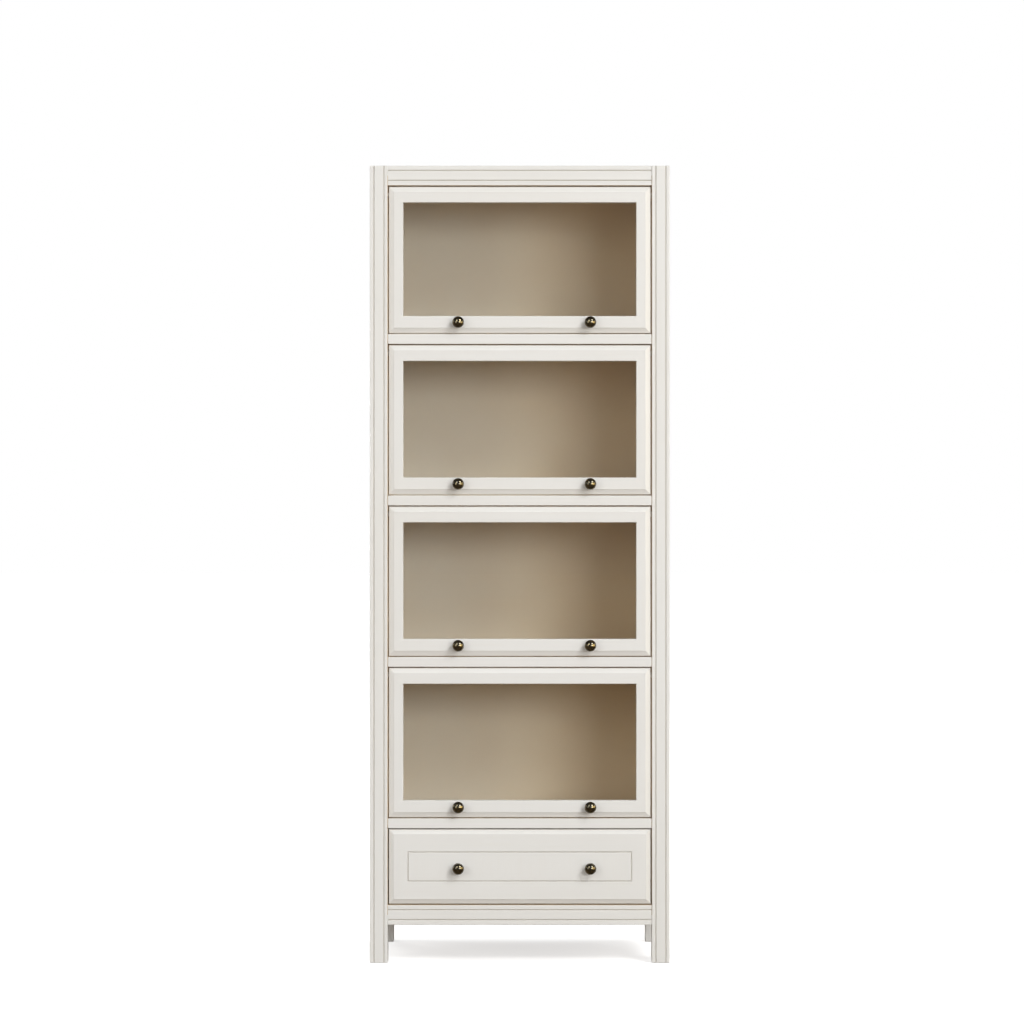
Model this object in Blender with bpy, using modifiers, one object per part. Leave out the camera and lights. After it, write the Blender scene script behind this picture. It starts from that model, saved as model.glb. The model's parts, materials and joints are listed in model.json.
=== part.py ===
"""Barrister bookcase: a tall case on four grooved posts, with four glazed doors that lift and slide back
over the shelves, above one drawer.

Metres, +Z up. The front faces -Y and the right-hand side is at +X. The origin is on the floor, under the
middle of the whole piece with its knobs. Every piece is a named object in the collection barrister_bookcase,
and the shapes that only cut or join others are in the collection cutters.
"""

import math

import bmesh
import bpy

# Overall sizes of the case. The knobs stand in front of DEPTH.
WIDTH = 0.600
DEPTH = 0.350
HEIGHT = 1.595

# Gaps
FIT = 0.0003  # between pieces that touch
REVEAL = 0.002  # around a door or the drawer front
SET_BACK = 0.001  # rails, shelf edges, doors and drawer front behind the face of the posts
ARRIS = 0.001  # small bevel along the edge of a board

# Posts, rails and the V grooves run in their front faces
POST = 0.036
LEG_CLEARANCE = 0.076
RAIL_HEIGHT = 0.040
RAIL_THICKNESS = 0.020
GROOVE_WIDTH = 0.003
GROOVE_DEPTH = 0.0015
POST_GROOVE_INSET = 0.008  # from each edge of a post to the groove beside it
RAIL_GROOVE_INSET = 0.010  # and from each edge of a rail

# Boards of the case
SIDE_THICKNESS = 0.018
SIDE_RAIL_SET_BACK = 0.002  # behind the outer face of the posts
BOARD_THICKNESS = 0.020
REAR_RAIL_THICKNESS = 0.018
BACK_THICKNESS = 0.006

# Doors. Door 1 is the top one, and it is a little lower than the other three.
DOORS = 4
TOP_DOOR_CUT = 0.006
DOOR_THICKNESS = 0.020
DOOR_EDGE_WIDTH = 0.010  # sloping edge round the face
DOOR_EDGE_DEPTH = 0.0035
STILE_WIDTH = 0.029
TOP_RAIL_WIDTH = 0.032
BOTTOM_RAIL_WIDTH = 0.034
REBATE_WIDTH = 0.006  # how far the glass goes under the frame
REBATE_DEPTH = 0.009
GLASS_THICKNESS = 0.004
BEAD_THICKNESS = 0.0044
BEAD_WIDTH = 0.0055

# Door pivots, the sliding carriage that carries them, and its tracks in the sides
PIN_RADIUS = 0.003
PIN_DROP = 0.015  # from the door's top edge down to the pivot
PIN_LENGTH = 0.015
PIN_CLEARANCE = 0.0004
BLOCK_HEIGHT = 0.012
BLOCK_DEPTH = 0.008
BLOCK_FRONT = 0.005  # in front of the pivot
BLOCK_TAIL = 0.003  # behind the bar
BAR_THICKNESS = 0.005
BAR_CLEARANCE = 0.002  # from the bar to the door's top edge as it swings by
TRACK_CLEARANCE = 0.0004
TRACK_STOP = 0.033  # solid side left behind the end of a track

# Drawer
DRAWER_FRONT_HEIGHT = 0.149
DRAWER_EDGE_WIDTH = 0.008
DRAWER_FRAME_END = 0.037  # from each end of the front to the grooved panel line
DRAWER_FRAME_TOP = 0.044  # and from its top and bottom
DRAWER_SIDE_THICKNESS = 0.012
DRAWER_SIDE_HEIGHT = 0.115
DRAWER_SIDE_RISE = 0.012  # from the bottom board to the drawer side
DRAWER_BACK_GAP = 0.010  # from the closed drawer to the back panel
DRAWER_BOTTOM_THICKNESS = 0.005
DRAWER_BOTTOM_RISE = 0.010  # from the lower edge of the sides to the bottom
DRAWER_BOTTOM_HOUSING = 0.006  # how far the bottom goes into its grooves

# Drawer slides, one pair on each side
SLIDE_SPACE = 0.013  # between the case side and the drawer side
SLIDE_END_GAP = 0.0025  # from each end of a slide to the drawer side's end
SLIDE_GAUGE = 0.0012
CHANNEL_HEIGHT = 0.045
CHANNEL_DEPTH = 0.0102
RUNNER_HEIGHT = 0.034
RUNNER_DEPTH = 0.0082

# Knobs, as distances from the centre line. The pair isn't quite centred.
KNOB_LEFT_X = -0.123
KNOB_RIGHT_X = 0.141
KNOB_RISE = 0.021  # above a door's lower edge
DRAWER_KNOB_DROP = 0.003  # below the middle of the drawer front
KNOB_REACH = 0.024  # how far a knob stands out from a door
KNOB_RADIUS = 0.0117
KNOB_BASE_RADIUS = 0.0075
KNOB_STEM_RADIUS = 0.0045
SCREW_RADIUS = 0.002
SCREW_HEAD_RADIUS = 0.004
SCREW_HEAD_THICKNESS = 0.002
SCREW_CLEARANCE = 0.0004
ROUND_STEPS = 20

# Places that follow from the sizes
FRONT = (KNOB_REACH - SET_BACK - DEPTH) / 2  # the face of the posts
BACK = FRONT + DEPTH
SIDE_FRONT = FRONT + POST + FIT
SIDE_BACK = BACK - POST - FIT
FACE = FRONT + SET_BACK  # the face of rails, shelf edges and doors
INSIDE = WIDTH / 2 - POST  # the inner faces of posts and sides
OPENING_LOW = LEG_CLEARANCE + RAIL_HEIGHT
OPENING_HIGH = HEIGHT - RAIL_HEIGHT
BACK_FACE = BACK - REAR_RAIL_THICKNESS - FIT - BACK_THICKNESS  # the front of the back panel
DRAWER_HIGH = OPENING_LOW + REVEAL + DRAWER_FRONT_HEIGHT
DOOR_SPACE = OPENING_HIGH - DRAWER_HIGH - REVEAL - DOORS * (BOARD_THICKNESS + 2 * REVEAL)
DOOR_HEIGHT = (DOOR_SPACE + TOP_DOOR_CUT) / DOORS
DOOR_HALF_WIDTH = INSIDE - REVEAL
DOOR_BACK = FACE + DOOR_THICKNESS
PIN_Y = FACE + DOOR_THICKNESS / 2
BAR_FRONT = PIN_Y + math.hypot(PIN_DROP, DOOR_THICKNESS / 2) + BAR_CLEARANCE
BLOCK_END = BAR_FRONT + BAR_THICKNESS + BLOCK_TAIL


def collection(name):
    made = bpy.data.collections.new(name)
    bpy.context.scene.collection.children.link(made)
    return made


def material(name, colour, roughness, metallic=0.0, transmission=0.0):
    made = bpy.data.materials.new(name)
    made.use_nodes = True
    shader = made.node_tree.nodes["Principled BSDF"]
    shader.inputs["Base Color"].default_value = (*colour, 1.0)
    shader.inputs["Roughness"].default_value = roughness
    shader.inputs["Metallic"].default_value = metallic
    shader.inputs["Transmission Weight"].default_value = transmission
    made.diffuse_color = (*colour, 1.0)
    return made


for old in list(bpy.data.objects):
    bpy.data.objects.remove(old)
PARTS = collection("barrister_bookcase")
CUTTERS = collection("cutters")

WHITE_PAINT = material("white_paint", (0.80, 0.78, 0.74), 0.35)
TAUPE_PAINT = material("taupe_paint", (0.26, 0.20, 0.14), 0.5)
BIRCH = material("birch", (0.70, 0.55, 0.36), 0.5)
GLASS = material("glass", (0.95, 0.97, 0.96), 0.02, transmission=1.0)
GLAZING_BEAD = material("glazing_bead", (0.78, 0.76, 0.72), 0.4)
AGED_BRASS = material("aged_brass", (0.10, 0.07, 0.03), 0.3, metallic=1.0)
STEEL = material("steel", (0.55, 0.56, 0.57), 0.35, metallic=1.0)


def add_object(name, data, centre, paint=None, parent=None, turn=(0.0, 0.0, 0.0)):
    """Puts data at a world point, turned, in the parts or, with no material, among the cutters."""
    made = bpy.data.objects.new(name, data)
    (PARTS if paint else CUTTERS).objects.link(made)
    made.location = centre
    made.rotation_euler = turn
    if parent:
        made.parent = parent
        made.location = [at - base for at, base in zip(centre, parent.location)]
    if paint:
        data.materials.append(paint)
    else:
        made.hide_render = True
        made.display_type = "WIRE"
    return made


def pivot_empty(name, place):
    """An empty on a joint's axis, which the pieces of a moving body hang from."""
    made = bpy.data.objects.new(name, None)
    PARTS.objects.link(made)
    made.location = place
    return made


def add_bevel(obj, width):
    bevel = obj.modifiers.new("arris", "BEVEL")
    bevel.width = width
    bevel.segments = 1
    bevel.limit_method = "ANGLE"


def box_mesh(name, size):
    mesh = bpy.data.meshes.new(name)
    shape = bmesh.new()
    bmesh.ops.create_cube(shape, size=1.0)
    bmesh.ops.scale(shape, vec=size, verts=shape.verts)
    shape.to_mesh(mesh)
    shape.free()
    return mesh


def board(name, low, high, paint=None, parent=None, arris=ARRIS):
    """A board, or with no material a box cutter, between two corners."""
    size = [b - a for a, b in zip(low, high)]
    centre = [(a + b) / 2 for a, b in zip(low, high)]
    made = add_object(name, box_mesh(name, size), centre, paint, parent)
    if paint and arris:
        add_bevel(made, arris)
    return made


def cylinder(name, centre, radius, length, turn):
    """A round cutter or joiner along the axis that turn gives it, +Z before turning."""
    mesh = bpy.data.meshes.new(name)
    shape = bmesh.new()
    bmesh.ops.create_cone(
        shape, cap_ends=True, segments=ROUND_STEPS, radius1=radius, radius2=radius, depth=length
    )
    shape.to_mesh(mesh)
    shape.free()
    return add_object(name, mesh, centre, turn=turn)


def boolean(obj, other, operation="DIFFERENCE"):
    step = obj.modifiers.new(f"{operation.lower()}_{other.name}", "BOOLEAN")
    step.operation = operation
    step.object = other


def mesh_prism(name, outline, length, centre, paint, turn=(0.0, 0.0, 0.0), parent=None):
    """A closed outline in its own XY plane, made solid along its own Z, as a mesh that a Boolean can cut."""
    curve = bpy.data.curves.new(name + "_outline", "CURVE")
    curve.dimensions = "2D"
    curve.fill_mode = "BOTH"
    curve.extrude = length / 2
    line = curve.splines.new("POLY")
    line.points.add(len(outline) - 1)
    for point, (x, y) in zip(line.points, outline):
        point.co = (x, y, 0.0, 1.0)
    line.use_cyclic_u = True
    drawn = bpy.data.objects.new(name + "_outline", curve)
    CUTTERS.objects.link(drawn)
    bpy.context.view_layer.update()
    mesh = bpy.data.meshes.new_from_object(drawn.evaluated_get(bpy.context.evaluated_depsgraph_get()))
    bpy.data.objects.remove(drawn)
    shape = bmesh.new()
    shape.from_mesh(mesh)
    bmesh.ops.remove_doubles(shape, verts=shape.verts, dist=0.00001)
    bmesh.ops.recalc_face_normals(shape, faces=shape.faces)
    shape.to_mesh(mesh)
    shape.free()
    mesh.materials.clear()
    mesh.name = name
    return add_object(name, mesh, centre, paint, parent, turn)


def grooved_section(width, depth, grooves):
    """A rectangular section with bevelled corners and a V groove in its front side at each distance."""
    left, right = -width / 2, width / 2
    front, back = -depth / 2, depth / 2
    points = [(left, front + ARRIS), (left + ARRIS, front)]
    for distance in grooves:
        middle = left + distance
        points.append((middle - GROOVE_WIDTH / 2, front))
        points.append((middle, front + GROOVE_DEPTH))
        points.append((middle + GROOVE_WIDTH / 2, front))
    points += [(right - ARRIS, front), (right, front + ARRIS)]
    points += [(right, back - ARRIS), (right - ARRIS, back)]
    points += [(left + ARRIS, back), (left, back - ARRIS)]
    return points


# The carriage tracks: one slot a side for each door, through the front post and into the side panel


def door_top(door):
    """The height of a door's top edge, from the lowest door up."""
    below = DOORS - door
    pitch = BOARD_THICKNESS + 2 * REVEAL + DOOR_HEIGHT
    lowest = DRAWER_HIGH + REVEAL + BOARD_THICKNESS + REVEAL + DOOR_HEIGHT
    return lowest + below * pitch - (TOP_DOOR_CUT if door == 1 else 0.0)


def door_height(door):
    return DOOR_HEIGHT - (TOP_DOOR_CUT if door == 1 else 0.0)


def pin_height(door):
    return door_top(door) - PIN_DROP


def track_cutter(side_name, side, door):
    half = BLOCK_HEIGHT / 2 + TRACK_CLEARANCE
    floor = INSIDE + BLOCK_DEPTH + TRACK_CLEARANCE
    inner = INSIDE - BLOCK_DEPTH
    return board(
        f"track_{side_name}_{door}",
        (min(side * inner, side * floor), PIN_Y - BLOCK_FRONT - TRACK_CLEARANCE, pin_height(door) - half),
        (max(side * inner, side * floor), SIDE_BACK - TRACK_STOP, pin_height(door) + half),
    )


SIDES = (("left", -1), ("right", 1))
TRACKS = {name: [track_cutter(name, side, door) for door in range(1, DOORS + 1)] for name, side in SIDES}

# Posts: the front pair has two grooves down its face, and the tracks start in its inner side

POST_CENTRE = WIDTH / 2 - POST / 2
for side_name, side in SIDES:
    front_post = mesh_prism(
        f"post_front_{side_name}",
        grooved_section(POST, POST, (POST_GROOVE_INSET, POST - POST_GROOVE_INSET)),
        HEIGHT,
        (side * POST_CENTRE, FRONT + POST / 2, HEIGHT / 2),
        WHITE_PAINT,
    )
    for track in TRACKS[side_name]:
        boolean(front_post, track)
    mesh_prism(
        f"post_rear_{side_name}",
        grooved_section(POST, POST, ()),
        HEIGHT,
        (side * POST_CENTRE, BACK - POST / 2, HEIGHT / 2),
        WHITE_PAINT,
    )

# Sides: a full-height panel between the posts, with a rail over each end of it on the outside


def side_board(name, side, inner, thickness, low, high):
    """A board of one side of the case, from its inner face outwards."""
    xs = sorted((side * inner, side * (inner + thickness)))
    return board(name, (xs[0], SIDE_FRONT, low), (xs[1], SIDE_BACK, high), WHITE_PAINT)


for side_name, side in SIDES:
    panel = side_board(f"side_panel_{side_name}", side, INSIDE, SIDE_THICKNESS, LEG_CLEARANCE, HEIGHT)
    for track in TRACKS[side_name]:
        boolean(panel, track)
    over = INSIDE + SIDE_THICKNESS + FIT
    thickness = WIDTH / 2 - SIDE_RAIL_SET_BACK - over
    side_board(f"side_rail_top_{side_name}", side, over, thickness, OPENING_HIGH, HEIGHT)
    side_board(f"side_rail_bottom_{side_name}", side, over, thickness, LEG_CLEARANCE, OPENING_LOW)

# Front and rear rails between the posts. The front ones carry the posts' pair of grooves.

RAIL_LENGTH = 2 * (INSIDE - FIT)
RAIL_GROOVES = (RAIL_GROOVE_INSET, RAIL_HEIGHT - RAIL_GROOVE_INSET)
for end, low in (("top", OPENING_HIGH), ("bottom", LEG_CLEARANCE)):
    mesh_prism(
        f"front_rail_{end}",
        grooved_section(RAIL_HEIGHT, RAIL_THICKNESS, RAIL_GROOVES),
        RAIL_LENGTH,
        (0.0, FACE + RAIL_THICKNESS / 2, low + RAIL_HEIGHT / 2),
        WHITE_PAINT,
        turn=(0.0, -math.pi / 2, 0.0),
    )
    board(
        f"rear_rail_{end}",
        (FIT - INSIDE, BACK - REAR_RAIL_THICKNESS, low),
        (INSIDE - FIT, BACK, low + RAIL_HEIGHT),
        WHITE_PAINT,
    )

# Boards across the case: top, shelves, bottom and back

BEHIND_RAIL = FACE + RAIL_THICKNESS + FIT


def cross_board(name, front, back, low, paint):
    return board(name, (FIT - INSIDE, front, low), (INSIDE - FIT, back, low + BOARD_THICKNESS), paint)


cross_board("top_board", BEHIND_RAIL, BACK - REAR_RAIL_THICKNESS - FIT, HEIGHT - BOARD_THICKNESS, WHITE_PAINT)
cross_board("bottom_board", BEHIND_RAIL, BACK_FACE - FIT, OPENING_LOW - BOARD_THICKNESS, TAUPE_PAINT)
for door in range(1, DOORS + 1):
    under_door = door_top(door) - door_height(door) - REVEAL - BOARD_THICKNESS
    cross_board(f"shelf_{door}", FACE, BACK_FACE - FIT, under_door, TAUPE_PAINT)
board(
    "back_panel",
    (FIT - INSIDE, BACK_FACE, LEG_CLEARANCE),
    (INSIDE - FIT, BACK_FACE + BACK_THICKNESS, HEIGHT - BOARD_THICKNESS - FIT),
    TAUPE_PAINT,
    arris=0.0,
)


def knob_profile(through):
    """The half outline of a knob and its screw, from the tip down the outer side, as radius and height.
    Height 0 is the face that the knob sits on, and through is the thickness that the screw passes."""
    tip = KNOB_REACH
    widest = 0.62 * KNOB_REACH
    neck = 0.36 * KNOB_REACH
    flange = 0.08 * KNOB_REACH
    points = [(0.0, tip)]
    for step in range(1, 6):
        angle = step * math.pi / 10
        points.append((KNOB_RADIUS * math.sin(angle), widest + (tip - widest) * math.cos(angle)))
    points += [(0.78 * KNOB_RADIUS, 0.5 * (widest + neck)), (KNOB_STEM_RADIUS, neck)]
    points += [(KNOB_STEM_RADIUS, 2 * flange), (KNOB_BASE_RADIUS, flange), (KNOB_BASE_RADIUS, FIT)]
    points += [(SCREW_RADIUS, FIT), (SCREW_RADIUS, -through - FIT)]
    points += [(SCREW_HEAD_RADIUS, -through - FIT), (SCREW_HEAD_RADIUS, -through - FIT - SCREW_HEAD_THICKNESS)]
    points.append((0.0, -through - FIT - SCREW_HEAD_THICKNESS))
    return points


def knob(name, x, z, through, parent):
    """A turned knob on a screw: its profile is spun about its own Z, which points out of the front."""
    profile = knob_profile(through)
    mesh = bpy.data.meshes.new(name)
    edges = [(i, i + 1) for i in range(len(profile) - 1)]
    mesh.from_pydata([(radius, 0.0, height) for radius, height in profile], edges, [])
    made = add_object(name, mesh, (x, FACE, z), AGED_BRASS, parent, (math.pi / 2, 0.0, 0.0))
    spin = made.modifiers.new("turn", "SCREW")
    spin.axis = "Z"
    spin.steps = spin.render_steps = ROUND_STEPS
    spin.use_merge_vertices = True
    spin.merge_threshold = 0.00001
    return made


def screw_hole(name, x, z, through):
    """A cutter for a knob's screw, right through the piece that the knob is on."""
    length = through + 4 * DOOR_EDGE_DEPTH
    radius = SCREW_RADIUS + SCREW_CLEARANCE
    return cylinder(name, (x, FACE + through / 2, z), radius, length, (math.pi / 2, 0.0, 0.0))


def inset(shape, face, width):
    """Leaves an even border of a width round a face."""
    bmesh.ops.inset_region(shape, faces=[face], thickness=width, depth=0.0, use_even_offset=True)


def edged_slab(name, low, height, edge_width, parent, panel=None):
    """A door or drawer front blank, whose face is raised inside a sloping edge on all four sides. Panel
    gives how far in from the ends, and from the top and bottom, a V groove goes round the face."""
    mesh = bpy.data.meshes.new(name)
    shape = bmesh.new()
    flat = DOOR_THICKNESS - DOOR_EDGE_DEPTH
    bmesh.ops.create_cube(shape, size=1.0)
    bmesh.ops.scale(shape, vec=(2 * DOOR_HALF_WIDTH, flat, height), verts=shape.verts)
    shape.faces.ensure_lookup_table()
    face = min(shape.faces, key=lambda f: f.calc_center_median().y)
    inset(shape, face, edge_width)
    bmesh.ops.translate(shape, vec=(0.0, -DOOR_EDGE_DEPTH, 0.0), verts=face.verts)
    if panel:
        end, top = panel
        squeeze = (height / 2 - top) / (height / 2 - end)
        inset(shape, face, end - edge_width)
        bmesh.ops.scale(shape, vec=(1.0, 1.0, squeeze), verts=face.verts)
        for rise in (-GROOVE_DEPTH, GROOVE_DEPTH):
            inset(shape, face, GROOVE_WIDTH / 2)
            bmesh.ops.translate(shape, vec=(0.0, -rise, 0.0), verts=face.verts)
    shape.to_mesh(mesh)
    shape.free()
    centre = (0.0, DOOR_BACK - flat / 2, low + height / 2)
    return add_object(name, mesh, centre, WHITE_PAINT, parent)


# Doors: a one-piece frame, a pane behind its lip, a bead that holds the pane, and two knobs.
# Each hangs on two pins of its carriage, which is a cross bar with a block at each end, in the tracks.


def door_frame(door, low, high, pivot):
    frame = edged_slab(f"door_{door}_frame", low, high - low, DOOR_EDGE_WIDTH, pivot)
    half = DOOR_HALF_WIDTH - STILE_WIDTH
    window = board(
        f"window_{door}",
        (-half, FACE - DOOR_THICKNESS, low + BOTTOM_RAIL_WIDTH),
        (half, DOOR_BACK + DOOR_THICKNESS, high - TOP_RAIL_WIDTH),
    )
    rebate = board(
        f"rebate_{door}",
        (-half - REBATE_WIDTH, DOOR_BACK - REBATE_DEPTH, low + BOTTOM_RAIL_WIDTH - REBATE_WIDTH),
        (half + REBATE_WIDTH, DOOR_BACK + DOOR_THICKNESS, high - TOP_RAIL_WIDTH + REBATE_WIDTH),
    )
    boolean(frame, window)
    boolean(frame, rebate)
    for name, x in (("left", KNOB_LEFT_X), ("right", KNOB_RIGHT_X)):
        boolean(frame, screw_hole(f"screw_hole_{door}_{name}", x, low + KNOB_RISE, DOOR_THICKNESS))
    for name, side in SIDES:
        bore = cylinder(
            f"pin_bore_{door}_{name}",
            (side * DOOR_HALF_WIDTH, PIN_Y, high - PIN_DROP),
            PIN_RADIUS + PIN_CLEARANCE,
            2 * PIN_LENGTH,
            (0.0, math.pi / 2, 0.0),
        )
        boolean(frame, bore)


def door_glazing(door, low, high, pivot):
    half = DOOR_HALF_WIDTH - STILE_WIDTH + REBATE_WIDTH - FIT
    bottom = low + BOTTOM_RAIL_WIDTH - REBATE_WIDTH + FIT
    top = high - TOP_RAIL_WIDTH + REBATE_WIDTH - FIT
    glass_front = DOOR_BACK - REBATE_DEPTH + FIT
    glass_back = glass_front + GLASS_THICKNESS
    board(
        f"door_{door}_glass", (-half, glass_front, bottom), (half, glass_back, top), GLASS, pivot, arris=0.0005
    )
    bead = board(
        f"door_{door}_bead",
        (-half, glass_back + FIT, bottom),
        (half, glass_back + FIT + BEAD_THICKNESS, top),
        GLAZING_BEAD,
        pivot,
        arris=0.0,
    )
    inside = board(
        f"bead_window_{door}",
        (BEAD_WIDTH - half, glass_front, bottom + BEAD_WIDTH),
        (half - BEAD_WIDTH, DOOR_BACK + BEAD_THICKNESS, top - BEAD_WIDTH),
    )
    boolean(bead, inside)


def door_carriage(door, pin_z, slider):
    """The cross bar, with a sliding block and a pin joined to each end."""
    half_height = BLOCK_HEIGHT / 2
    carriage = board(
        f"door_{door}_carriage",
        (-INSIDE - BLOCK_DEPTH / 2, BAR_FRONT, pin_z - half_height + ARRIS),
        (INSIDE + BLOCK_DEPTH / 2, BAR_FRONT + BAR_THICKNESS, pin_z + half_height - ARRIS),
        STEEL,
        slider,
        arris=0.0,
    )
    for name, side in SIDES:
        xs = sorted((side * INSIDE, side * (INSIDE + BLOCK_DEPTH)))
        block = board(
            f"block_{door}_{name}",
            (xs[0], PIN_Y - BLOCK_FRONT, pin_z - half_height),
            (xs[1], BLOCK_END, pin_z + half_height),
        )
        boolean(carriage, block, "UNION")
        inner = DOOR_HALF_WIDTH - PIN_LENGTH + PIN_CLEARANCE
        outer = INSIDE + BLOCK_DEPTH / 2
        pin = cylinder(
            f"pin_{door}_{name}",
            (side * (inner + outer) / 2, PIN_Y, pin_z),
            PIN_RADIUS,
            outer - inner,
            (0.0, math.pi / 2, 0.0),
        )
        boolean(carriage, pin, "UNION")


for door in range(1, DOORS + 1):
    top = door_top(door)
    bottom = top - door_height(door)
    pin_z = pin_height(door)
    slider_empty = pivot_empty(f"door_{door}_slide", (0.0, PIN_Y, pin_z))
    pivot = pivot_empty(f"door_{door}_pivot", (0.0, PIN_Y, pin_z))
    door_frame(door, bottom, top, pivot)
    door_glazing(door, bottom, top, pivot)
    door_carriage(door, pin_z, slider_empty)
    for name, x in (("left", KNOB_LEFT_X), ("right", KNOB_RIGHT_X)):
        knob(f"door_{door}_knob_{name}", x, bottom + KNOB_RISE, DOOR_THICKNESS, pivot)

# Drawer: a grooved front on two sides, with a back, and a thin bottom housed in grooves

DRAWER_LOW = OPENING_LOW + REVEAL
DRAWER_MIDDLE = DRAWER_LOW + DRAWER_FRONT_HEIGHT / 2
BOX_LOW = OPENING_LOW + DRAWER_SIDE_RISE
BOX_HIGH = BOX_LOW + DRAWER_SIDE_HEIGHT
BOX_FRONT = DOOR_BACK + FIT
BOX_BACK = BACK_FACE - DRAWER_BACK_GAP
BOX_OUTER = INSIDE - SLIDE_SPACE
BOX_INNER = BOX_OUTER - DRAWER_SIDE_THICKNESS
BOTTOM_LOW = BOX_LOW + DRAWER_BOTTOM_RISE
drawer_empty = pivot_empty("drawer_slide", (0.0, FACE, DRAWER_MIDDLE))

drawer_front = edged_slab(
    "drawer_front",
    DRAWER_LOW,
    DRAWER_FRONT_HEIGHT,
    DRAWER_EDGE_WIDTH,
    drawer_empty,
    panel=(DRAWER_FRAME_END, DRAWER_FRAME_TOP),
)
bottom_housing = board(
    "bottom_housing",
    (-BOX_INNER - DRAWER_BOTTOM_HOUSING - FIT, BOX_FRONT - DRAWER_BOTTOM_HOUSING - FIT, BOTTOM_LOW - FIT),
    (BOX_INNER + DRAWER_BOTTOM_HOUSING + FIT, BOX_BACK + POST, BOTTOM_LOW + DRAWER_BOTTOM_THICKNESS + FIT),
)
boolean(drawer_front, bottom_housing)
for name, x in (("left", KNOB_LEFT_X), ("right", KNOB_RIGHT_X)):
    z = DRAWER_MIDDLE - DRAWER_KNOB_DROP
    boolean(drawer_front, screw_hole(f"screw_hole_drawer_{name}", x, z, DOOR_THICKNESS))
    knob(f"drawer_knob_{name}", x, z, DOOR_THICKNESS, drawer_empty)
for name, side in SIDES:
    xs = sorted((side * BOX_INNER, side * BOX_OUTER))
    drawer_side = board(
        f"drawer_side_{name}", (xs[0], BOX_FRONT, BOX_LOW), (xs[1], BOX_BACK, BOX_HIGH), BIRCH, drawer_empty
    )
    boolean(drawer_side, bottom_housing)
board(
    "drawer_back",
    (FIT - BOX_INNER, BOX_BACK - DRAWER_SIDE_THICKNESS, BOTTOM_LOW + DRAWER_BOTTOM_THICKNESS + FIT),
    (BOX_INNER - FIT, BOX_BACK, BOX_HIGH),
    BIRCH,
    drawer_empty,
)
board(
    "drawer_bottom",
    (-BOX_INNER - DRAWER_BOTTOM_HOUSING, BOX_FRONT - DRAWER_BOTTOM_HOUSING, BOTTOM_LOW),
    (BOX_INNER + DRAWER_BOTTOM_HOUSING, BOX_BACK, BOTTOM_LOW + DRAWER_BOTTOM_THICKNESS),
    BIRCH,
    drawer_empty,
    arris=0.0,
)

# Drawer slides: a channel screwed to each side of the case, and a runner in it on the drawer side

SLIDE_MIDDLE = (BOX_LOW + BOX_HIGH) / 2
SLIDE_LENGTH = BOX_BACK - BOX_FRONT - 2 * SLIDE_END_GAP


def channel_section(height, depth):
    """A channel's section: its web at the left, and its two lips towards the right."""
    half = height / 2
    inner = half - SLIDE_GAUGE
    return [
        (0.0, -half),
        (depth, -half),
        (depth, -inner),
        (SLIDE_GAUGE, -inner),
        (SLIDE_GAUGE, inner),
        (depth, inner),
        (depth, half),
        (0.0, half),
    ]


def slide_member(name, web_x, opens, height, depth, parent):
    """A channel along Y, with its web's outer face at web_x and its lips towards opens (-1 or 1) on X."""
    section = [(opens * x, y) for x, y in channel_section(height, depth)]
    centre = (web_x, (BOX_FRONT + BOX_BACK) / 2, SLIDE_MIDDLE)
    mesh_prism(name, section, SLIDE_LENGTH, centre, STEEL, (math.pi / 2, 0.0, 0.0), parent)


for name, side in SIDES:
    slide_member(f"slide_channel_{name}", side * (INSIDE - FIT), -side, CHANNEL_HEIGHT, CHANNEL_DEPTH, None)
    slide_member(
        f"drawer_runner_{name}", side * (BOX_OUTER + FIT), side, RUNNER_HEIGHT, RUNNER_DEPTH, drawer_empty
    )
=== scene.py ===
"""The look of a painted barrister bookcase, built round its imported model.

Each section makes one piece, or one group of like pieces, in the order that the bookcase is put together.
Metres, +Z up, with the front towards -Y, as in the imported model.
"""

import json
import math

import bmesh
import bpy
import numpy as np
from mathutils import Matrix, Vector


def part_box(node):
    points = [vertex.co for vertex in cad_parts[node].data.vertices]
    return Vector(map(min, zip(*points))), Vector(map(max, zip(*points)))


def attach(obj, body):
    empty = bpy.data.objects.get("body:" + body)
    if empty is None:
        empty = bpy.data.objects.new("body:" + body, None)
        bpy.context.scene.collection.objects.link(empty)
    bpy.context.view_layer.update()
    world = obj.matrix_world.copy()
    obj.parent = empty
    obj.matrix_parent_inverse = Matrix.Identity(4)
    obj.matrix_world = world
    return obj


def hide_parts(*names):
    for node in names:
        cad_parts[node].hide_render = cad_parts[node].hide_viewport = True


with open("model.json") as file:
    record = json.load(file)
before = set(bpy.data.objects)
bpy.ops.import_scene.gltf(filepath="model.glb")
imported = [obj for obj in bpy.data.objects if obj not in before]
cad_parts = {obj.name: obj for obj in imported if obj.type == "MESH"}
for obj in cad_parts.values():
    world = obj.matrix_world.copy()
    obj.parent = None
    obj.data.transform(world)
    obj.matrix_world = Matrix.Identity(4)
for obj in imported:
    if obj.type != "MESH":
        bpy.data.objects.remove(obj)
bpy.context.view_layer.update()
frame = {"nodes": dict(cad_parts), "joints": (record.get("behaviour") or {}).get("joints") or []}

# The camera looks level at the front, from far enough away that the rear legs just show under the bottom
# rail. It stands a little to the left of the middle of the case.

CAMERA_LEFT = -0.0155
CAMERA_HEIGHT = 0.902
CAMERA_DISTANCE = 6.37  # from the front of the case
PICTURE_WIDTH = 2.048  # how much of the front's plane the picture takes in
SENSOR_WIDTH = 36.0  # millimetres, as the lens is

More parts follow.
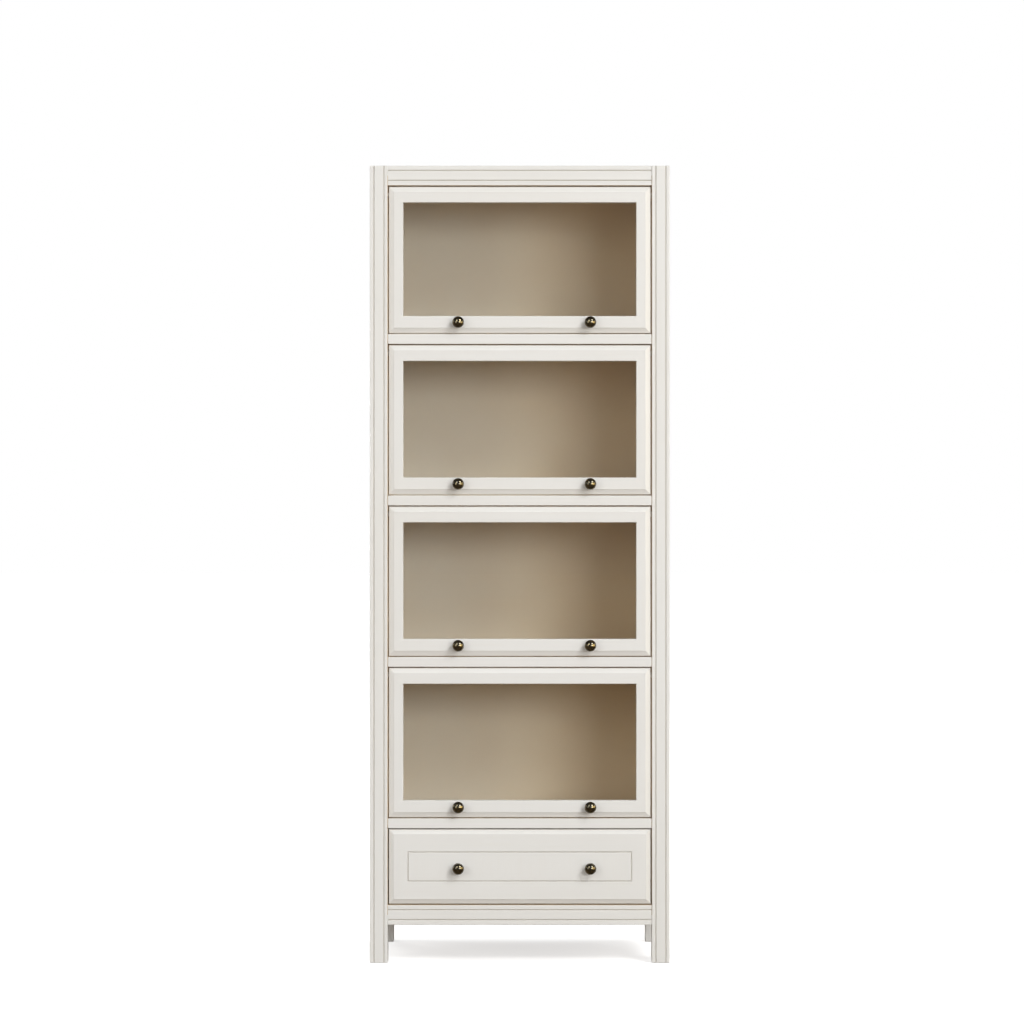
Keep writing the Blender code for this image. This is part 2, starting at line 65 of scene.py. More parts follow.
case_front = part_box("post_front_left")[0].y
camera = bpy.data.objects.new("camera", bpy.data.cameras.new("camera"))
bpy.context.scene.collection.objects.link(camera)
camera.location = (CAMERA_LEFT, case_front - CAMERA_DISTANCE, CAMERA_HEIGHT)
camera.rotation_euler = (math.pi / 2, 0.0, 0.0)
camera.data.sensor_width = SENSOR_WIDTH
camera.data.lens = SENSOR_WIDTH * CAMERA_DISTANCE / PICTURE_WIDTH
bpy.context.scene.camera = camera
bpy.context.scene.view_settings.view_transform = "Standard"

# The studio: a large softbox high on the right in front, a wide low one that reaches in to the shelves, a
# small one on the left, fainter ones at both sides and behind, and an even white sky. Two cards only shine
# in the knobs and the other glossy pieces.

SKY_STRENGTH = 0.575
MIRRORED_SKY = 0.16  # as shiny surfaces see it
FLOOR_REACH = 40.0
FLOOR_COLOUR = (0.86, 0.86, 0.86, 1.0)
FLOOR_RETURN = (0.19, 0.145, 0.10, 1.0)  # the light that it throws back
FLOOR_GLOW = 0.52  # seen by the camera only, straight or through glass


def softbox(name, place, target, size, watts, colour):
    """A rectangular area lamp at place, turned to face target. Size is its width and height. It can't be
    seen through glass, just as the camera can't see it."""
    lamp = bpy.data.lights.new(name, "AREA")
    lamp.shape = "RECTANGLE"
    lamp.size, lamp.size_y = size
    lamp.energy = watts
    lamp.color = colour
    made = bpy.data.objects.new(name, lamp)
    bpy.context.scene.collection.objects.link(made)
    made.visible_transmission = False
    made.location = place
    aim = np.array(target) - np.array(place)
    level = math.hypot(aim[0], aim[1])
    made.rotation_euler = (math.pi / 2 + math.atan2(aim[2], level), 0.0, math.atan2(-aim[0], aim[1]))
    return made


def add_node(tree, kind, inputs=(), **settings):
    """A node of that kind. Inputs pairs a socket's name or number with a value, or with a socket to link
    to it."""
    made = tree.nodes.new(kind)
    for key, value in settings.items():
        setattr(made, key, value)
    for key, value in dict(inputs).items():
        if isinstance(value, bpy.types.NodeSocket):
            tree.links.new(value, made.inputs[key])
        else:
            made.inputs[key].default_value = value
    return made


softbox("key_softbox", (5.7, -8.2, 7.7), (0.0, 0.0, 0.6), (3.6, 3.6), 555.0, (1.0, 0.995, 0.985))
softbox("shelf_softbox", (3.1, -6.6, 1.65), (0.0, 0.0, 0.4), (3.4, 1.8), 162.0, (1.0, 0.995, 0.98))
softbox("left_softbox", (-2.6, -3.6, 1.3), (0.0, 0.0, 0.6), (1.0, 2.0), 24.0, (1.0, 0.96, 0.91))
softbox("right_side_softbox", (6.0, 0.8, 2.6), (0.0, 0.0, 0.8), (2.5, 2.5), 70.0, (1.0, 0.99, 0.97))
softbox("left_side_softbox", (-6.0, 0.8, 2.6), (0.0, 0.0, 0.8), (2.5, 2.5), 90.0, (1.0, 0.99, 0.97))
gold_card = softbox("gold_card", (5.0, -3.2, 1.1), (0.0, 0.0, 0.8), (5.0, 3.4), 190.0, (1.0, 0.80, 0.42))
white_card = softbox("white_card", (-1.9, -4.6, 3.6), (0.0, 0.0, 0.8), (1.1, 2.2), 60.0, (1.0, 0.98, 0.93))
for card in (gold_card, white_card):
    card.visible_diffuse = False
softbox("rear_softbox", (-3.6, 6.4, 0.85), (0.0, 0.0, 0.8), (3.0, 1.4), 320.0, (1.0, 0.99, 0.97))


def shown(tree):
    """1 on the way that the camera looks, straight or through glass, and 0 for light and reflections."""
    path = add_node(tree, "ShaderNodeLightPath")
    sockets = {0: path.outputs["Is Camera Ray"], 1: path.outputs["Is Transmission Ray"]}
    return add_node(tree, "ShaderNodeMath", sockets, operation="MAXIMUM").outputs[0]


world = bpy.data.worlds.new("studio")
bpy.context.scene.world = world
world.use_nodes = True
world.node_tree.nodes.clear()
seen_sky = add_node(
    world.node_tree, "ShaderNodeBackground", {"Color": (1.0, 1.0, 1.0, 1.0), "Strength": 1.0}
)
world_path = add_node(world.node_tree, "ShaderNodeLightPath")
sky_strength = add_node(
    world.node_tree,
    "ShaderNodeMix",
    {0: world_path.outputs["Is Glossy Ray"], 2: SKY_STRENGTH, 3: MIRRORED_SKY},
)
lighting_sky = add_node(
    world.node_tree,
    "ShaderNodeBackground",
    {"Color": (0.98, 0.99, 1.0, 1.0), "Strength": sky_strength.outputs[0]},
)
sky = add_node(
    world.node_tree,
    "ShaderNodeMixShader",
    {0: shown(world.node_tree), 1: lighting_sky.outputs[0], 2: seen_sky.outputs[0]},
)
add_node(world.node_tree, "ShaderNodeOutputWorld", {"Surface": sky.outputs[0]})

floor_mesh = bpy.data.meshes.new("floor")
floor_corners = [(x * FLOOR_REACH, y * FLOOR_REACH, 0.0) for x, y in ((-1, -1), (1, -1), (1, 1), (-1, 1))]
floor_mesh.from_pydata(floor_corners, [], [(0, 1, 2, 3)])
floor = bpy.data.objects.new("floor", floor_mesh)
bpy.context.scene.collection.objects.link(floor)
floor_finish = bpy.data.materials.new("pale_floor")
floor_finish.use_nodes = True
floor_tree = floor_finish.node_tree
floor_shader = floor_tree.nodes["Principled BSDF"]
floor_shader.inputs["Roughness"].default_value = 0.9
floor_shader.inputs["Specular IOR Level"].default_value = 0.0
floor_shader.inputs["Emission Color"].default_value = (1.0, 1.0, 1.0, 1.0)
to_camera = shown(floor_tree)
floor_glow = add_node(floor_tree, "ShaderNodeMath", {0: to_camera, 1: FLOOR_GLOW}, operation="MULTIPLY")
floor_tree.links.new(floor_glow.outputs[0], floor_shader.inputs["Emission Strength"])
floor_colours = {0: to_camera, 6: FLOOR_RETURN, 7: FLOOR_COLOUR}
floor_colour = add_node(floor_tree, "ShaderNodeMix", floor_colours, data_type="RGBA")
floor_tree.links.new(floor_colour.outputs[2], floor_shader.inputs["Base Color"])
floor_mesh.materials.append(floor_finish)

# Posts: four square legs of painted hardwood, the full height of the case. The front pair has two thin
# grooves routed down the face, and blind slots in the inner side, where the tracks of the doors begin. All
# four are taupe where they face the inside of the case.

WELD = 1e-6
SHARP_EDGE = math.radians(25)
CORNER_STEPS = 6  # points round a quarter circle
GROOVE_STEPS = 13
GROOVE_WIDTH = 0.0038
GROOVE_DEPTH = 0.0018
POST_ROUNDING = 0.0014
POST_GROOVE_INSET = 0.008
INNER_PAINT_SHARE = 0.5  # of the rounded edge, where the taupe of the inside begins
TRACK_CLEARANCE = 0.0004

SIDES = (("left", -1), ("right", 1))
DOORS = (1, 2, 3, 4)
PLANES = {0: (2, 1), 1: (0, 2), 2: (0, 1)}  # the axes that a section lies in, for the one it runs along
ACROSS, INWARD, UPWARD, MITRED = 0, 1, 2, 3  # which way the brush marks run

WHITE = (0.778, 0.778, 0.762)
WHITE_SHADE = (0.735, 0.715, 0.668)
# Painted shade: the dark tone that grooves are darkened to towards their bottom, where shade falls in them.
GROOVE_PAINTED_SHADE = (0.36, 0.32, 0.26)
TAUPE = (0.61, 0.475, 0.325)
TAUPE_SHADE = (0.53, 0.395, 0.25)
COLOUR_EDGE = 0.0002  # over which one paint gives way to the other
GROOVE_SHADE_SHARE = 0.5  # of the painted groove shade, at the bottom of a groove
BRUSH_STRETCH = 24.0
BRUSH_MARKS = 900.0  # a metre, across the strokes
PEBBLES = 240.0
FILM_STRENGTH = 0.3
FILM_RELIEF = 0.00006
POLISH_PATCHES = 30.0
FRONT_ROUGHNESS = 0.40


def filleted(corners, closed=True):
    """The points of an outline whose corners are rounded, as one array for each corner. A corner is its two
    coordinates and its radius. Its arc touches both sides, with its centre on the line that halves them."""
    corners = np.array(corners, dtype=float)
    made = []
    for i, (x, y, radius) in enumerate(corners):
        here = np.array((x, y))
        if radius == 0.0 or (not closed and i in (0, len(corners) - 1)):
            made.append(here[None])
            continue
        back = corners[i - 1, :2] - here
        on = corners[(i + 1) % len(corners), :2] - here
        back, on = back / np.linalg.norm(back), on / np.linalg.norm(on)
        half_angle = math.acos(np.clip(back @ on, -1.0, 1.0)) / 2
        centre = here + (back + on) / np.linalg.norm(back + on) * radius / math.sin(half_angle)
        first = here + back * radius / math.tan(half_angle) - centre
        last = here + on * radius / math.tan(half_angle) - centre
        start = math.atan2(first[1], first[0])
        turn = (math.atan2(last[1], last[0]) - start + math.pi) % (2 * math.pi) - math.pi
        angles = start + turn * np.linspace(0.0, 1.0, CORNER_STEPS)
        made.append(centre + radius * np.stack([np.cos(angles), np.sin(angles)], axis=1))
    return made


def rounded_section(width, depth, radius, grooves=()):
    """Points round a rectangle about the origin, anticlockwise from its front left corner, with quarter
    circles at the corners. Each groove is a raised cosine, at a distance from the left end of the front."""
    x, y = width / 2, depth / 2
    arcs = filleted([(-x, -y, radius), (x, -y, radius), (x, y, radius), (-x, y, radius)])
    along = np.linspace(-0.5, 0.5, GROOVE_STEPS)
    sunk = GROOVE_DEPTH * 0.5 * (1 + np.cos(2 * math.pi * along))
    cut = [np.stack([distance - x + GROOVE_WIDTH * along, sunk - y], axis=1) for distance in grooves]
    return np.concatenate([arcs[0], *cut, *arcs[1:]])


def depth_in_groove(section, radius):
    """How far down a groove each point of a section lies, from 0 on the face to 1 at the bottom."""
    reach = np.abs(section[:, 0]).max() - radius - WELD
    down = (section[:, 1] - section[:, 1].min()) / GROOVE_DEPTH
    return np.where((np.abs(section[:, 0]) < reach) & (down < 1 + WELD), down, 0.0)


def eased(section, centre, low, high, radius, slots=(), cut=None):
    """Stations of a section from low to high: pairs of a place and the points there. Both ends are drawn in
    on a quarter circle. At each slot, a pair of places, the points change to their cut form and back."""
    angles = np.linspace(0.0, math.pi / 2, CORNER_STEPS)
    half = np.abs(section).max(axis=0)
    depths = radius * (1 - np.cos(angles))
    shrinks = 1 - radius * (1 - np.sin(angles))[:, None] / half
    ends = [(depth, section * shrink) for depth, shrink in zip(depths, shrinks)]
    made = [(low + depth, points) for depth, points in ends]
    for start, end in sorted(slots):
        made += [(start, section), (start, cut), (end, cut), (end, section)]
    made += [(high - depth, points) for depth, points in reversed(ends)]
    return [(place, points + np.array(centre)) for place, points in made]


def grid_mesh(name, rings, closed=False, capped=True, points=None, faces=None):
    """A surface over grids of points, as an array of shells, rings, points round a ring, and coordinates.
    Each ring is joined to the next, and the last to the first where closed. Capped puts a face over each
    end ring. Points and faces are attributes: a name, and values that fit the grid or its faces."""
    shells, count, around = rings.shape[:3]
    index = np.arange(shells * count * around).reshape(shells, count, around)
    rows = np.concatenate([index, index[:, :1]], axis=1) if closed else index
    here, there = rows[:, :-1], rows[:, 1:]
    quads = np.stack([here, np.roll(here, -1, 2), np.roll(there, -1, 2), there], axis=-1)
    polygons = quads.reshape(-1, 4).tolist()
    if capped and not closed:
        polygons += index[:, 0, ::-1].tolist() + index[:, -1].tolist()
    mesh = bpy.data.meshes.new(name)
    mesh.from_pydata(rings.reshape(-1, 3).tolist(), [], polygons)
    for domain, given, shape in (("POINT", points, index.shape), ("FACE", faces, quads.shape[:3])):
        if given:
            values = np.broadcast_to(given[1], shape).astype(np.float32).ravel()
            values = np.pad(values, (0, (len(polygons) if domain == "FACE" else index.size) - len(values)))
            mesh.attributes.new(given[0], "FLOAT", domain).data.foreach_set("value", values)
    return mesh


def carried(name, axis, stations, hollow=None):
    """A section carried straight along an axis, from its stations. Hollow, how far down a groove each point
    lies, sets how much painted shade it gets, and fades to 0 at both ends, so that the end faces stay free
    of it."""
    across, through = PLANES[axis]
    rings = np.zeros((1, len(stations), len(stations[0][1]), 3))
    rings[0, :, :, (across, through)] = np.array([points for _, points in stations]).transpose(2, 0, 1)
    rings[0, :, :, axis] = np.array([place for place, _ in stations])[:, None]
    if hollow is None:
        return grid_mesh(name, rings)
    groove_shade_depth = np.tile(hollow, (len(stations), 1))
    groove_shade_depth[[0, -1]] = 0.0
    return grid_mesh(name, rings, points=("hollow", groove_shade_depth[None]))


def finished(name, mesh, body, slot, finish, *replaced):
    """Makes a mesh a piece: doubles are merged, faces turned outwards and flat faces kept flat beside round
    ones. It rides on its body, in place of the nodes that it stands for."""
    shape = bmesh.new()
    shape.from_mesh(mesh)
    bmesh.ops.remove_doubles(shape, verts=shape.verts, dist=WELD)
    bmesh.ops.dissolve_degenerate(shape, edges=shape.edges, dist=WELD)
    bmesh.ops.recalc_face_normals(shape, faces=shape.faces)
    shape.to_mesh(mesh)
    shape.free()
    mesh.shade_smooth()
    mesh.set_sharp_from_angle(angle=SHARP_EDGE)
    mesh.materials.append(finish)
    made = bpy.data.objects.new(name, mesh)
    bpy.context.scene.collection.objects.link(made)
    made.modifiers.new("flat_faces", "WEIGHTED_NORMAL").keep_sharp = True
    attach(made, body)
    if replaced:
        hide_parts(*replaced)
    return made


def with_track(section, side, inner, blind, towards, depth):
    """A section with its inner side, at x = inner, parted at the blind end of a track: whole, and again
    with all that lies on from there (1 or -1 in Y) taken out to the track's floor. The points of the two
    pair off."""
    on_inner = np.abs(section[:, 0] - inner) < WELD
    at = int(np.flatnonzero(on_inner & np.roll(on_inner, -1))[0]) + 1
    whole = np.insert(section, at, [(inner, blind), (inner, blind)], axis=0)
    floor_x = inner + side * depth
    moved = ((whole[:, 1] - blind) * towards > WELD) & (side * whole[:, 0] < side * floor_x)
    rising = whole[(at + 2) % len(whole), 1] > whole[at - 1, 1]
    moved[at + (1 if rising == (towards > 0) else 0)] = True
    cut = whole.copy()
    cut[moved, 0] = floor_x
    return whole, cut


def coordinates(tree):
    return add_node(tree, "ShaderNodeTexCoord").outputs["Object"]


def noise(tree, grain, size, detail=3.0):
    """A noise of that many features a metre, drawn out along the grain, from 0 to 1. On a mitred frame the
    grain turns with the piece's own across attribute."""
    if grain == MITRED:
        turn = add_node(tree, "ShaderNodeAttribute", attribute_name="across").outputs["Fac"]
        upright, crosswise = noise(tree, UPWARD, size, detail), noise(tree, ACROSS, size, detail)
        return add_node(tree, "ShaderNodeMix", {0: turn, 2: upright, 3: crosswise}).outputs[0]
    scale = [size / BRUSH_STRETCH if axis == grain else size for axis in range(3)]
    place = add_node(tree, "ShaderNodeMapping", {"Vector": coordinates(tree), "Scale": scale})
    sockets = {"Vector": place.outputs["Vector"], "Scale": 1.0, "Detail": detail, "Roughness": 0.55}
    return add_node(tree, "ShaderNodeTexNoise", sockets).outputs[0]


def ranged(tree, value, low, high, to_low=0.0, to_high=1.0):
    """A value from low to high, taken smoothly to the range from to_low to to_high."""
    sockets = {"Value": value, "From Min": low, "From Max": high, "To Min": to_low, "To Max": to_high}
    return add_node(tree, "ShaderNodeMapRange", sockets, interpolation_type="SMOOTHSTEP").outputs["Result"]


def patches(tree, grain, size, low, high, most=1.0, detail=3.0):
    """How strongly a second shade shows, from 0 to most: a noise of that size, cut smoothly between low
    and high."""
    return ranged(tree, noise(tree, grain, size, detail), low, high, 0.0, most)


def scaled(tree, value, factor):
    return add_node(tree, "ShaderNodeMath", {0: value, 1: factor}, operation="MULTIPLY").outputs[0]


def colour_mix(tree, share, first, second):
    """Two colours, each a socket or three numbers, mixed by a share of the second."""
    made = add_node(tree, "ShaderNodeMix", data_type="RGBA")
    for key, value in ((0, share), (6, first), (7, second)):
        if isinstance(value, bpy.types.NodeSocket):
            tree.links.new(value, made.inputs[key])
        else:
            made.inputs[key].default_value = value if key == 0 else (*value, 1.0)
    return made.outputs[2]


def new_finish(name, **sockets):
    """A material, as its node tree, its Principled shader and itself."""
    made = bpy.data.materials.new(name)
    made.use_nodes = True
    shader = made.node_tree.nodes["Principled BSDF"]
    for key, value in sockets.items():
        shader.inputs[key.replace("_", " ")].default_value = value
    return made.node_tree, shader, made


def brushed_film(tree, shader, colour, grain, roughness):
    """A film of a colour: roughness that wanders a little, and a bump of fine marks along the grain over
    soft pebbling."""
    tree.links.new(colour, shader.inputs["Base Color"])
    marks, pebbles = noise(tree, grain, BRUSH_MARKS, 4.0), noise(tree, None, PEBBLES, 2.0)
    film = add_node(tree, "ShaderNodeMath", {0: marks, 1: pebbles}, operation="ADD").outputs[0]
    relief = {"Height": film, "Strength": FILM_STRENGTH, "Distance": FILM_RELIEF}
    bump = add_node(tree, "ShaderNodeBump", relief)
    tree.links.new(bump.outputs["Normal"], shader.inputs["Normal"])
    polish = noise(tree, grain, POLISH_PATCHES)
    wander = ranged(tree, polish, 0.3, 0.7, roughness - 0.05, roughness + 0.06)
    tree.links.new(wander, shader.inputs["Roughness"])


def white_paint(tree, grain):
    """Off-white paint: a slow drift to a warmer shade, faint streaks along the grain, and a painted shade
    down in the grooves, darker towards their bottom."""
    drift = patches(tree, None, 2.3, 0.35, 0.75, most=0.30)
    streaks = patches(tree, grain, 160.0, 0.45, 0.8, most=0.22)
    base = colour_mix(tree, streaks, colour_mix(tree, drift, WHITE, WHITE_SHADE), WHITE_SHADE)
    # Painted shade in the grooves, as deep as each point lies in its groove.
    groove_shade_depth = add_node(tree, "ShaderNodeAttribute", attribute_name="hollow").outputs["Fac"]
    return colour_mix(tree, scaled(tree, groove_shade_depth, GROOVE_SHADE_SHARE), base, GROOVE_PAINTED_SHADE)


def white_finish(name, grain):
    tree, shader, made = new_finish(name)
    brushed_film(tree, shader, white_paint(tree, grain), grain, FRONT_ROUGHNESS)
    return made


def taupe_paint(tree, colour=TAUPE, shade=TAUPE_SHADE):
    """Taupe paint, with soft cloudy patches and fine specks of a browner shade."""
    clouds = patches(tree, None, 5.0, 0.35, 0.7, most=0.5)
    specks = patches(tree, ACROSS, 220.0, 0.5, 0.8, most=0.2)
    return colour_mix(tree, specks, colour_mix(tree, clouds, colour, shade), shade)


def divided(tree, axis, at, below, above, from_middle=False):
    """One colour below a place on an axis and another above it. From middle measures out both ways from
    the middle."""
    value = add_node(tree, "ShaderNodeSeparateXYZ", {0: coordinates(tree)}).outputs[axis]
    if from_middle:
        value = add_node(tree, "ShaderNodeMath", {0: value}, operation="ABSOLUTE").outputs[0]
    return colour_mix(tree, ranged(tree, value, at - COLOUR_EDGE, at + COLOUR_EDGE), below, above)


tree, shader, post_finish = new_finish("white_with_taupe_in_the_case")
white = white_paint(tree, UPWARD)
inner_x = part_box("post_front_right")[0].x + POST_ROUNDING * INNER_PAINT_SHARE
inner_face = divided(tree, 0, inner_x, taupe_paint(tree), white, from_middle=True)
in_the_case = divided(tree, 1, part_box("back_panel")[0].y, inner_face, white)
in_the_case = divided(tree, 2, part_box("top_board")[0].z, in_the_case, white)
post_colour = divided(tree, 2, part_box("bottom_board")[0].z, white, in_the_case)
brushed_film(tree, shader, post_colour, UPWARD, FRONT_ROUGHNESS)

inside_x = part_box("side_panel_right")[0].x
carriages = [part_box(f"door_{door}_carriage") for door in DOORS]
track_heights = [(low.z - TRACK_CLEARANCE, high.z + TRACK_CLEARANCE) for low, high in carriages]
track_start = carriages[0][0].y - TRACK_CLEARANCE
track_depth = carriages[0][1].x + TRACK_CLEARANCE - inside_x

for side_name, side in SIDES:
    for end in ("front", "rear"):
        node = f"post_{end}_{side_name}"
        low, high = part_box(node)
        size, middle = high - low, (low + high) / 2
        section, slots, cut = rounded_section(size.x, size.y, POST_ROUNDING), (), None
        if end == "front":
            grooves = (POST_GROOVE_INSET, size.x - POST_GROOVE_INSET)
            whole = rounded_section(size.x, size.y, POST_ROUNDING, grooves)
            blind, slots = track_start - middle.y, track_heights
            section, cut = with_track(whole, side, -side * size.x / 2, blind, 1, track_depth)
        stations = eased(section, middle[:2], low.z, high.z, POST_ROUNDING, slots, cut)
        mesh = carried(node, UPWARD, stations, depth_in_groove(section, POST_ROUNDING))
        finished(f"{node}_painted", mesh, "case", "white_paint", post_finish, node)

# Sides: a painted board between the front and rear post of each side, white outside and taupe inside. The
# tracks of the doors run back along its inner face, and stop before its rear edge.

PANEL_ROUNDING = 0.0008
BOARD_ROUGHNESS = 0.42
TRACK_STOP = 0.033  # from the end of a track to the rear edge

tree, shader, side_finish = new_finish("white_outside_taupe_inside")
white = white_paint(tree, UPWARD)
inner_side = divided(tree, 2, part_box("top_board")[0].z, taupe_paint(tree), white)
track_floor = inside_x + track_depth + PANEL_ROUNDING
sides_colour = divided(tree, 0, track_floor, inner_side, white, from_middle=True)
brushed_film(tree, shader, sides_colour, UPWARD, BOARD_ROUGHNESS)

for side_name, side in SIDES:
    node = f"side_panel_{side_name}"
    low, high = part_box(node)
    size, middle = high - low, (low + high) / 2
    section = rounded_section(size.x, size.y, PANEL_ROUNDING)
    blind = size.y / 2 - TRACK_STOP
    section, cut = with_track(section, side, -side * size.x / 2, blind, -1, track_depth)
    stations = eased(section, middle[:2], low.z, high.z, PANEL_ROUNDING, track_heights, cut)
    mesh = carried(node, UPWARD, stations)
    finished(f"{node}_painted", mesh, "case", "white_paint", side_finish, node)

# Side rails: a rail of painted hardwood over the top and bottom of each side board, on the outside. It is
# fitted between the front and the rear post, and glued to the board.

RAIL_ROUNDING = 0.0012


def rounded_board(name, low, high, axis, radius, *role):
    """A board between two corners with all its edges round: a rounded rectangle carried along an axis. Role
    is its body, slot and finish, and the nodes that it replaces; the slot is not used."""
    low, high = np.array(low), np.array(high)
    size, middle = high - low, (low + high) / 2
    across, through = PLANES[axis]
    section = rounded_section(size[across], size[through], radius)
    stations = eased(section, middle[[across, through]], low[axis], high[axis], radius)
    return finished(name, carried(name, axis, stations), *role)


white_inward = white_finish("white_paint_front_to_back", INWARD)
for side_name, side in SIDES:
    for end in ("top", "bottom"):
        node = f"side_rail_{end}_{side_name}"
        role = ("case", "white_paint", white_inward, node)
        rounded_board(f"{node}_painted", *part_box(node), INWARD, RAIL_ROUNDING, *role)

# Front and rear rails: painted rails between the posts, at the top and just above the legs. The front ones
# carry the same pair of grooves as the posts, which run out into the posts' inner sides.

RAIL_GROOVE_INSET = 0.010
BUTT_ROUNDING = 0.0003  # where a rail meets a post

white_across = white_finish("white_paint_across", ACROSS)
tree, shader, front_rail_finish = new_finish("white_with_taupe_towards_the_doors")
white, taupe = white_paint(tree, ACROSS), taupe_paint(tree)
under_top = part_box("front_rail_top")[0].z + RAIL_ROUNDING * INNER_PAINT_SHARE
above_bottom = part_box("front_rail_bottom")[1].z - RAIL_ROUNDING * INNER_PAINT_SHARE
between_rails = divided(tree, 2, under_top, taupe, white)
front_rail_colour = divided(tree, 2, above_bottom, white, between_rails)
brushed_film(tree, shader, front_rail_colour, ACROSS, FRONT_ROUGHNESS)

for end in ("top", "bottom"):
    node = f"front_rail_{end}"
    low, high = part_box(node)
    size, middle = high - low, (low + high) / 2
    grooves = (RAIL_GROOVE_INSET, size.z - RAIL_GROOVE_INSET)
    section = rounded_section(size.z, size.y, RAIL_ROUNDING, grooves)
    stations = eased(section, (middle.z, middle.y), low.x, high.x, BUTT_ROUNDING)
    mesh = carried(node, ACROSS, stations, depth_in_groove(section, RAIL_ROUNDING))
    finished(f"{node}_painted", mesh, "case", "white_paint", front_rail_finish, node)
    node = f"rear_rail_{end}"
    role = ("case", "white_paint", white_across, node)
    rounded_board(f"{node}_painted", *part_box(node), ACROSS, RAIL_ROUNDING, *role)

# Top board: a painted board that closes the case between the rails, held by the posts and the rails round
# it. It is white above and taupe inside the case.

tree, shader, top_finish = new_finish("white_above_taupe_below")
top_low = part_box("top_board")[0].z
top_colour = divided(tree, 2, top_low + PANEL_ROUNDING, taupe_paint(tree), white_paint(tree, ACROSS))
brushed_film(tree, shader, top_colour, ACROSS, BOARD_ROUGHNESS)
role = ("case", "white_paint", top_finish, "top_board")
rounded_board("top_board_painted", *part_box("top_board"), ACROSS, PANEL_ROUNDING, *role)

# Bottom board and shelves: taupe boards from side to side. The front edges of the shelves show between the
# doors, and are white like the rails.

SHELF_ROUNDING = 0.0012
TAUPE_ROUGHNESS = 0.45

tree, shader, taupe_finish = new_finish("taupe_paint_across")
brushed_film(tree, shader, taupe_paint(tree), ACROSS, TAUPE_ROUGHNESS)
role = ("case", "taupe_paint", taupe_finish, "bottom_board")
rounded_board("bottom_board_painted", *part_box("bottom_board"), ACROSS, PANEL_ROUNDING, *role)

tree, shader, shelf_finish = new_finish("taupe_with_a_white_front_edge")
edge_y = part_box("shelf_1")[0].y + SHELF_ROUNDING
shelf_colour = divided(tree, 1, edge_y, white_paint(tree, ACROSS), taupe_paint(tree))
brushed_film(tree, shader, shelf_colour, ACROSS, BOARD_ROUGHNESS)
for door in DOORS:
    node = f"shelf_{door}"
    role = ("case", "taupe_paint", shelf_finish, node)
    rounded_board(f"{node}_painted", *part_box(node), ACROSS, SHELF_ROUNDING, *role)

# Back panel: hardboard, bare behind and screwed to the shelves' rear edges. Its front is painted a paler
# taupe, with painted light and shade across it: a lighter painted lit tone to the left, and a darker,
# browner painted shade to the right.

# Painted light and shade on the back: a lit tone for the left, and a darker brown painted shade for the
# right.
PAINTED_LIT_TAUPE = (0.85, 0.785, 0.69)
PAINTED_LIT_TAUPE_SHADE = (0.79, 0.70, 0.585)
PAINTED_SHADED_TAUPE = (0.86, 0.69, 0.48)
PAINTED_SHADED_TAUPE_SHADE = (0.80, 0.61, 0.40)
PAINTED_SHADE_REACH = 0.25  # from the middle to where each painted tone is full
HARDBOARD = (0.40, 0.27, 0.16)
HARDBOARD_FIBRES = (0.25, 0.15, 0.08)
BACK_ROUNDING = 0.0004
BACK_ROUGHNESS = 0.5
BACK_SCREW_ROWS = (-0.2, 0.0, 0.2)
SCREW_RADIUS = 0.0036
SCREW_RISE = 0.0013
SCREW_ROOT = 0.0008  # inside what it holds
SCREW_DOME = 0.7  # the power that rounds the head, where 0.5 would be half a ball
SCREW_ROUGHNESS = 0.32
SCREW_RINGS = 17
SCREW_STEPS = 48
RECESS_REACH = 0.62  # of the head's radius
RECESS_WIDTH = 0.13
RECESS_DEPTH = 0.0008
RECESS_SIDES = 2  # how steeply the arms of the cross fall at their sides
RECESS_ENDS = 6


def screw_heads(name, places, axis, facing, *role):
    """Domed screw heads with a cross recess. Over the radius r from 0 to 1 and the angle a, a head rises by
    (1 - r^2) to the power of the dome, times its height. A cross of arms about the two lines r sin a = 0
    and r cos a = 0, with sloping sides, is taken out of it."""
    ring = np.linspace(1.0, 0.0, SCREW_RINGS)[:, None]
    angle = np.linspace(0.0, 2 * math.pi, SCREW_STEPS, endpoint=False)[None]
    u, v = ring * np.cos(angle), ring * np.sin(angle)
    across = np.minimum(np.abs(u), np.abs(v)) / RECESS_WIDTH
    along = np.maximum(np.abs(u), np.abs(v)) / RECESS_REACH
    recess = np.clip(RECESS_SIDES * (1 - across), 0, 1) * np.clip(RECESS_ENDS * (1 - along), 0, 1)
    rise = SCREW_RISE * (1 - ring**2) ** SCREW_DOME - RECESS_DEPTH * recess
    first, second = [other for other in range(3) if other != axis]
    head = np.zeros((SCREW_RINGS, SCREW_STEPS, 3))
    head[..., first], head[..., second] = SCREW_RADIUS * u, SCREW_RADIUS * v
    head[..., axis] = facing * rise
    foot = head[:1].copy()
    foot[..., axis] = -facing * SCREW_ROOT
    head = np.concatenate([foot, head])
    shells = np.array(places)[:, None, None, :] + head[None]
    mesh = grid_mesh(name, shells, points=("hollow", np.pad(recess, ((1, 0), (0, 0)))[None]))
    return finished(name, mesh, *role)


tree, shader, back_finish = new_finish("taupe_in_front_hardboard_behind")
fibres = patches(tree, None, 700.0, 0.4, 0.7, detail=4.0)
bare = colour_mix(tree, fibres, HARDBOARD, HARDBOARD_FIBRES)
back_low, back_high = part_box("back_panel")
across = add_node(tree, "ShaderNodeSeparateXYZ", {0: coordinates(tree)}).outputs[0]
